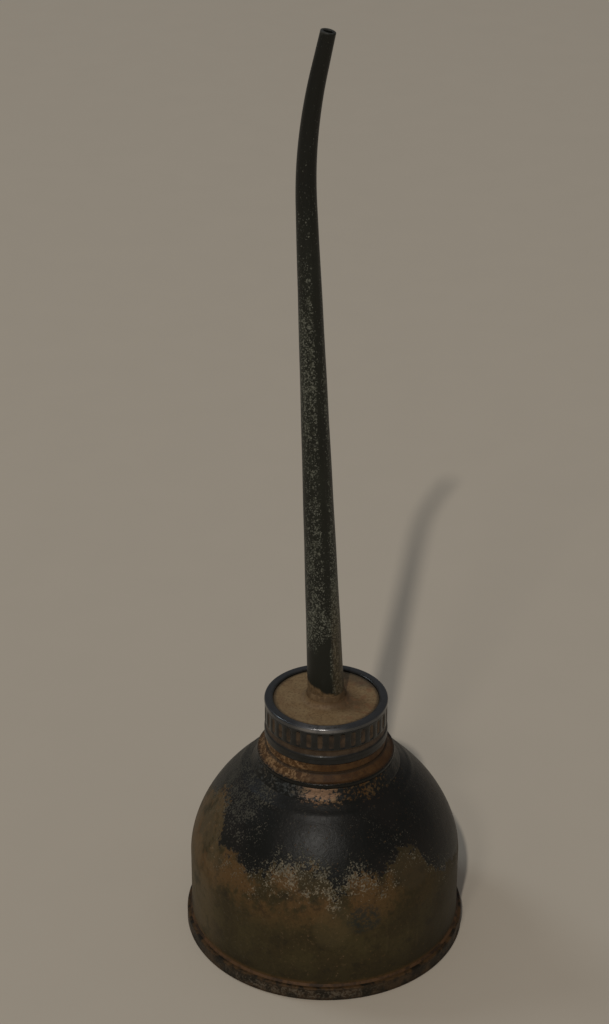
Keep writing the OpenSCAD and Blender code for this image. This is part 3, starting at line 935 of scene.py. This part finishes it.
def build_gasket():
    """Leather washer with soft edges."""
    low, high = GASKET_LOW[2], GASKET_HIGH[2]
    r0, r1 = TUBE_R - 1.4, GASKET_HIGH[0]
    outline = rounded([
        (r0, low, 0.2), (r1, low, 0.25), (r1, high, 0.25), (r0, high, 0.25), (r0, low + 0.3),
    ])
    outline = np.vstack([outline, outline[:1]])

    def relief(angle, r, z):
        return 0.04 * waves(angle * 3, z, 71) - 0.04

    return revolved("neck_washer", resampled(outline, 0.25), leather_material(), 160, relief)


def unit(v):
    """The vector at length 1."""
    return np.array(v, float) / np.linalg.norm(v)


def spout_line(count=200):
    """Middle line of the spout and the length along it, from just below the plate to the tip."""
    foot = np.array([0, 0, PLATE_Z])
    low_dir = unit([math.tan(math.radians(LEAN_LOW)), math.tan(math.radians(LEAN_BACK)), 1])
    tip_dir = unit([math.tan(math.radians(LEAN_TIP)), math.tan(math.radians(TIP_FORWARD)), 1])
    corner = foot + low_dir * (SPOUT_LENGTH - TIP_LENGTH)
    start, end = corner - low_dir * BEND_RUN, corner + tip_dir * BEND_RUN
    below = foot - low_dir * SPOUT_TAIL
    tip = corner + tip_dir * TIP_LENGTH
    lower = [below + (start - below) * t for t in np.linspace(0, 1, count // 2, endpoint=False)]
    bend = [
        (1 - t) ** 2 * start + 2 * t * (1 - t) * corner + t * t * end
        for t in np.linspace(0, 1, count // 3, endpoint=False)
    ]
    upper = [end + (tip - end) * t for t in np.linspace(0, 1, count // 6)]
    line = np.array(lower + bend + upper)
    steps = np.linalg.norm(np.diff(line, axis=0), axis=1)
    run = np.concatenate([[0], np.cumsum(steps)]) - SPOUT_TAIL
    return line, run


def build_spout():
    """Rolled, tapered and bent tube with a raised lengthwise seam and a cut, rounded tip."""
    sides = 56
    line, run = spout_line()
    along = np.gradient(line, axis=0)
    along /= np.linalg.norm(along, axis=1, keepdims=True)
    angle = np.arange(sides) * 2 * np.pi / sides
    seam_at = math.radians(26)
    turn = np.angle(np.exp(1j * (angle - seam_at)))

    def ring(i, radius, forward=0.0):
        sideways = unit(np.cross([0, 1, 0], along[i]))
        back = np.cross(along[i], sideways)
        radius = np.broadcast_to(radius, angle.shape)
        spokes = np.sin(angle)[:, None] * sideways - np.cos(angle)[:, None] * back
        return line[i] + along[i] * forward + spokes * radius[:, None]

    share = np.clip(run / SPOUT_LENGTH, -0.01, 1)
    radius = SPOUT_BASE_R + (SPOUT_TIP_R - SPOUT_BASE_R) * share
    loops = []
    for i in range(len(line)):
        seam = 0.055 * np.exp(-(turn / 0.085) ** 2) - 0.03 * np.exp(-((turn - 0.2) / 0.07) ** 2)
        uneven = 0.018 * np.sin(2 * angle + run[i] * 0.05) + 0.012 * np.sin(run[i] * 0.45 + angle)
        loops.append(ring(i, radius[i] + (seam + uneven) * min(1.0, radius[i] / 2.4)))
    last = len(line) - 1
    tip_r = radius[last]
    for inset, forward in ((0.05, 0.05), (0.14, 0.09), (SPOUT_WALL - 0.08, 0.08), (SPOUT_WALL, 0.0)):
        loops.append(ring(last, tip_r - inset, forward))
    for i in range(last - 1, -1, -3):
        loops.append(ring(i, radius[i] - SPOUT_WALL))
    loops.append(ring(0, radius[0] - SPOUT_WALL))
    count = len(loops)
    faces = [
        (j * sides + k, j * sides + (k + 1) % sides,
         ((j + 1) % count) * sides + (k + 1) % sides, ((j + 1) % count) * sides + k)
        for j in range(count) for k in range(sides)
    ]
    return make_mesh("spout", np.vstack(loops), faces, spout_material())


def build_spout_fillet():
    """Solder drawn up between the plate's collar and the spout."""
    hole = SPOUT_HOLE_R
    outline = rounded([
        (hole - 0.3, COLLAR_TOP - 0.1), (hole + 0.19, COLLAR_TOP - 0.1, 0.05),
        (hole + 0.14, COLLAR_TOP + 0.06, 0.12), (hole + 0.02, COLLAR_TOP + 0.36, 0.3),
        (hole - 0.16, COLLAR_TOP + 0.80), (hole - 0.3, COLLAR_TOP + 0.80),
        (hole - 0.3, COLLAR_TOP - 0.1),
    ])

    def relief(angle, r, z):
        return 0.03 * waves(angle * 2, z, 83) * (r > hole - 0.1)

    return revolved("spout_fillet", resampled(outline, 0.1), solder_material(), 128, relief)


def build_object():
    """Every piece of the can; all but the bottom ride on a body."""
    placed(build_body(), "can", "body_paint", "body_shell")
    placed(build_rim(), "can", "rim_steel", "base_rim")
    placed(build_seam(), "can", "solder", "seam_solder")
    for piece in build_neck():
        placed(piece, "can", "rusty_neck", "neck_collar")
    placed(build_neck_fillet(), "can", "solder", "neck_solder")
    for piece in build_cap():
        placed(piece, "cap", "cap_paint", "cap_shell")
    placed(build_plate(), "cap", "plate_patina", "cap_plate")
    placed(build_gasket(), "seal", "gasket_leather", "cap_gasket")
    placed(build_spout(), "cap", "spout_paint", "spout_tube")
    placed(build_spout_fillet(), "cap", "solder", "spout_solder")
    bottom = build_bottom()
    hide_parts("bottom_diaphragm")
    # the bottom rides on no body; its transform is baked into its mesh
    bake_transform(bottom)


# ---------------------------------------------------------------- floor, light, camera

def floor_material():
    """Plain, pale, matt and warm."""
    s = Shader("pale_floor")
    mottle = s.noise(14.0, 3.0, 0.5)
    color = s.mix(mottle, (0.770, 0.680, 0.555), (0.800, 0.705, 0.575))
    return s.finish(color, 0.9, specular=0.15)


def build_floor():
    """A floor that reaches past every view."""
    reach = 8.0 / MM
    corners = [(-reach, -reach, 0), (reach, -reach, 0), (reach, reach, 0), (-reach, reach, 0)]
    floor = make_mesh("floor", corners, [(0, 1, 2, 3)], floor_material(), smooth=False)


def area_light(name, azimuth, elevation, distance, size, power, color=(1, 1, 1)):
    """A soft light aimed at the cap. Azimuth 0 is in front, positive towards +X."""
    data = bpy.data.lights.new(name, "AREA")
    data.shape = "DISK"
    data.size = size
    data.energy = power
    data.color = color
    lamp = bpy.data.objects.new(name, data)
    bpy.context.scene.collection.objects.link(lamp)
    a, e = math.radians(azimuth), math.radians(elevation)
    aim = Vector((0, 0, CAP_Z * MM))
    away = Vector((math.sin(a) * math.cos(e), -math.cos(a) * math.cos(e), math.sin(e)))
    lamp.location = aim + away * distance
    lamp.rotation_euler = (-away).to_track_quat("-Z", "Y").to_euler()


def build_light():
    """A small warm key, a softer one beside it, a cool window at the left and a pale room."""
    warm, cool, room = (1.0, 0.95, 0.88), (0.80, 0.91, 1.0), (0.97, 0.97, 1.0, 1.0)
    area_light("key", -10.4, 44, 6.0, 0.17, 82.0, warm)
    area_light("second", -20, 41, 6.0, 0.7, 18.0, warm)
    area_light("window", -115, 45, 3.0, 0.9, 7.0, cool)
    world = bpy.data.worlds.new("soft_room")
    bpy.context.scene.world = world
    world.use_nodes = True
    background = world.node_tree.nodes["Background"]
    background.inputs["Color"].default_value = room
    background.inputs["Strength"].default_value = 0.12


def build_camera():
    """Looks down at the can from the front, from about 40 cm away."""
    data = bpy.data.cameras.new("camera")
    data.sensor_width = 36.0
    data.lens = 78.4
    camera = bpy.data.objects.new("camera", data)
    bpy.context.scene.collection.objects.link(camera)
    camera.location = (0, -0.3123, 0.2427)
    down, left, roll = (math.radians(v) for v in (27.70, 0.68, 0.22))
    camera.rotation_euler = (math.pi / 2 - down, 0, left)
    camera.rotation_euler.rotate_axis("Z", roll)
    bpy.context.scene.camera = camera


bpy.context.scene.view_settings.view_transform = "Standard"
build_camera()
build_floor()
build_light()
build_object()
